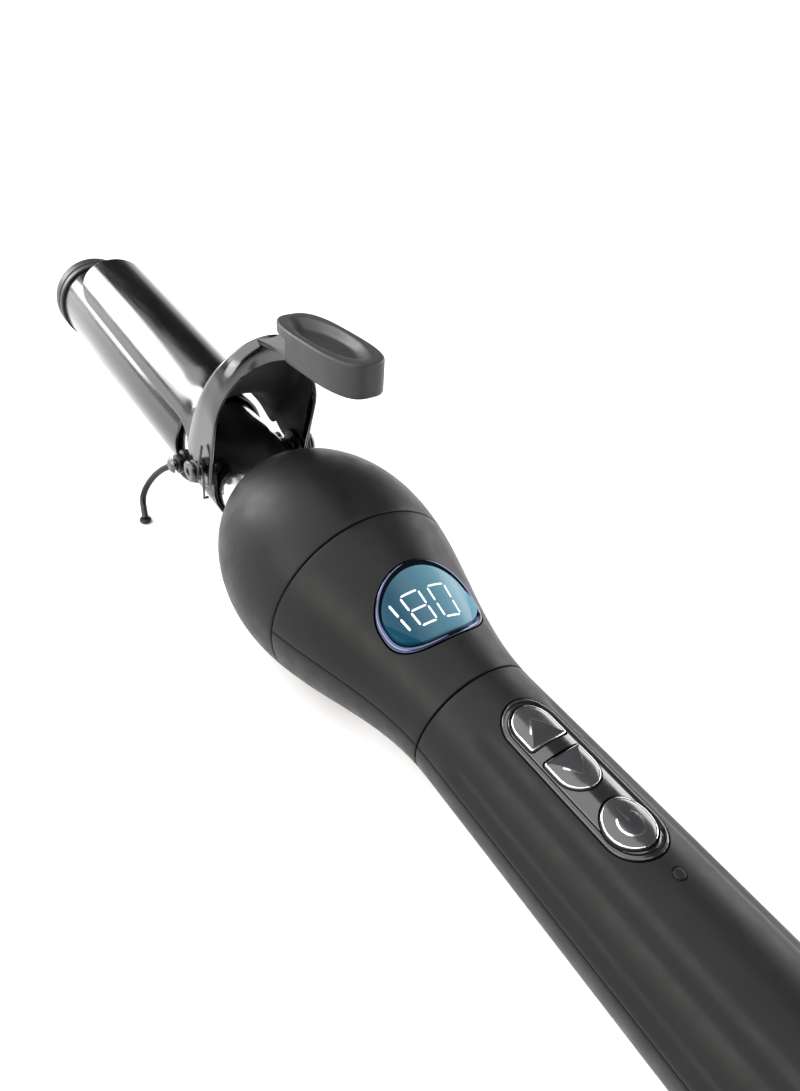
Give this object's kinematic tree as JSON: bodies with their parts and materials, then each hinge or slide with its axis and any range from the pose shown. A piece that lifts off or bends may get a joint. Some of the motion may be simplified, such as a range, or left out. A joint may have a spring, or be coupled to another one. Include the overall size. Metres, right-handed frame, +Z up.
{
  "type": "curling iron",
  "caption": "Curling iron with a hinged clamp and thumb lever, heated barrel, cool tip, bulb-shaped housing with display and buttons, and a flip-out wire stand.",
  "frame": {"origin": "bottom centre of the bounding box, at the height of the surface the iron stands on", "axes": "+X along the barrel towards the cool tip, +Y to the iron's left, +Z up with the display, buttons and thumb lever on top"},
  "size_m": [0.343, 0.0504, 0.0807],
  "materials": {
    "gunmetal": "dark mirror plating",
    "bright_steel": "polished",
    "fastener_steel": "zinc-plated",
    "heater_metal": "as cast",
    "heater_ceramic": "matt",
    "sensor_glass": "clear",
    "wire_red": "silicone sleeve",
    "wire_black": "silicone sleeve",
    "wire_white": "silicone sleeve",
    "mount_resin": "moulded phenolic",
    "tip_plastic": "satin",
    "body_plastic": "soft-touch satin",
    "lever_plastic": "satin",
    "gland_plastic": "satin",
    "panel_plastic": "high gloss",
    "button_plastic": "high gloss",
    "bezel_chrome": "dark plating",
    "window_blue": "clear over a lit blue display",
    "lcd_blue": "glass face",
    "board_green": "lacquered laminate",
    "light_pipe": "clear",
    "contact_brass": "plain",
    "black_steel": "black, semi-gloss",
    "spring_steel": "drawn wire"
  },
  "bodies": {
    "body": {"barrel_mount": "mount_resin", "barrel_neck": "bright_steel", "barrel_tube": "gunmetal", "bracket_screw": "fastener_steel", "button_panel": "panel_plastic", "clamp_spring_left": "spring_steel", "clamp_spring_right": "spring_steel", "contact_brush_front": "contact_brass", "contact_brush_rear": "contact_brass", "control_board": "board_green", "cool_tip": "tip_plastic", "display_bezel": "bezel_chrome", "display_window": "window_blue", "end_cap": "body_plastic", "handle_bottom": "body_plastic", "handle_screw_front": "fastener_steel", "handle_screw_rear": "fastener_steel", "handle_top": "body_plastic", "heater_block_lower": "heater_metal", "heater_block_upper": "heater_metal", "heater_lead_left": "wire_red", "heater_lead_right": "wire_black", "housing_bottom": "body_plastic", "housing_screw_left": "fastener_steel", "housing_screw_right": "fastener_steel", "housing_top": "body_plastic", "lcd_module": "lcd_blue", "led_light_pipe": "light_pipe", "mains_lead_front": "wire_black", "mains_lead_rear": "wire_black", "nose_housing": "body_plastic", "pivot_bracket": "black_steel", "pivot_screw_left": "fastener_steel", "pivot_screw_right": "fastener_steel", "ptc_heater": "heater_ceramic", "stand_rivet_left": "fastener_steel", "stand_rivet_right": "fastener_steel", "switch_down": "fastener_steel", "switch_power": "fastener_steel", "switch_up": "fastener_steel", "thermistor": "sensor_glass", "thermistor_lead": "wire_white", "tip_screw": "fastener_steel"},
    "clamp": {"clamp_plate": "gunmetal", "thumb_lever": "lever_plastic", "lever_screw": "fastener_steel"},
    "stand_wire": {"stand": "black_steel"},
    "gland": {"swivel_gland": "gland_plastic", "contact_ring_front": "contact_brass", "contact_ring_rear": "contact_brass"},
    "key_up": {"button_up": "button_plastic"},
    "key_down": {"button_down": "button_plastic"},
    "key_power": {"button_power": "button_plastic"}
  },
  "joints": [
    {"name": "clamp_hinge", "type": "hinge", "parent": "body", "child": "clamp", "pos_m": [0.0445, 0, 0.0302], "axis": [0, -1, 0], "range_deg": [0, 24], "stiffness_Nm_per_rad": 0.6, "springref_deg": -20.05, "deforming": ["clamp_spring_left", "clamp_spring_right"]},
    {"name": "stand_flip", "type": "hinge", "parent": "body", "child": "stand_wire", "pos_m": [0.0595, 0, 0.0227], "axis": [0, 1, 0], "range_deg": [0, 45]},
    {"name": "gland_swivel", "type": "hinge", "parent": "body", "child": "gland", "pos_m": [-0.1595, 0, 0.0252], "axis": [1, 0, 0], "continuous": true},
    {"name": "press_up", "type": "slide", "parent": "body", "child": "key_up", "axis": [0, 0, -1], "range_m": [0, 0.0005], "stiffness_N_per_m": 2000},
    {"name": "press_down", "type": "slide", "parent": "body", "child": "key_down", "axis": [0, 0, -1], "range_m": [0, 0.0005], "stiffness_N_per_m": 2000},
    {"name": "press_power", "type": "slide", "parent": "body", "child": "key_power", "axis": [0, 0, -1], "range_m": [0, 0.0005], "stiffness_N_per_m": 2000}
  ]
}
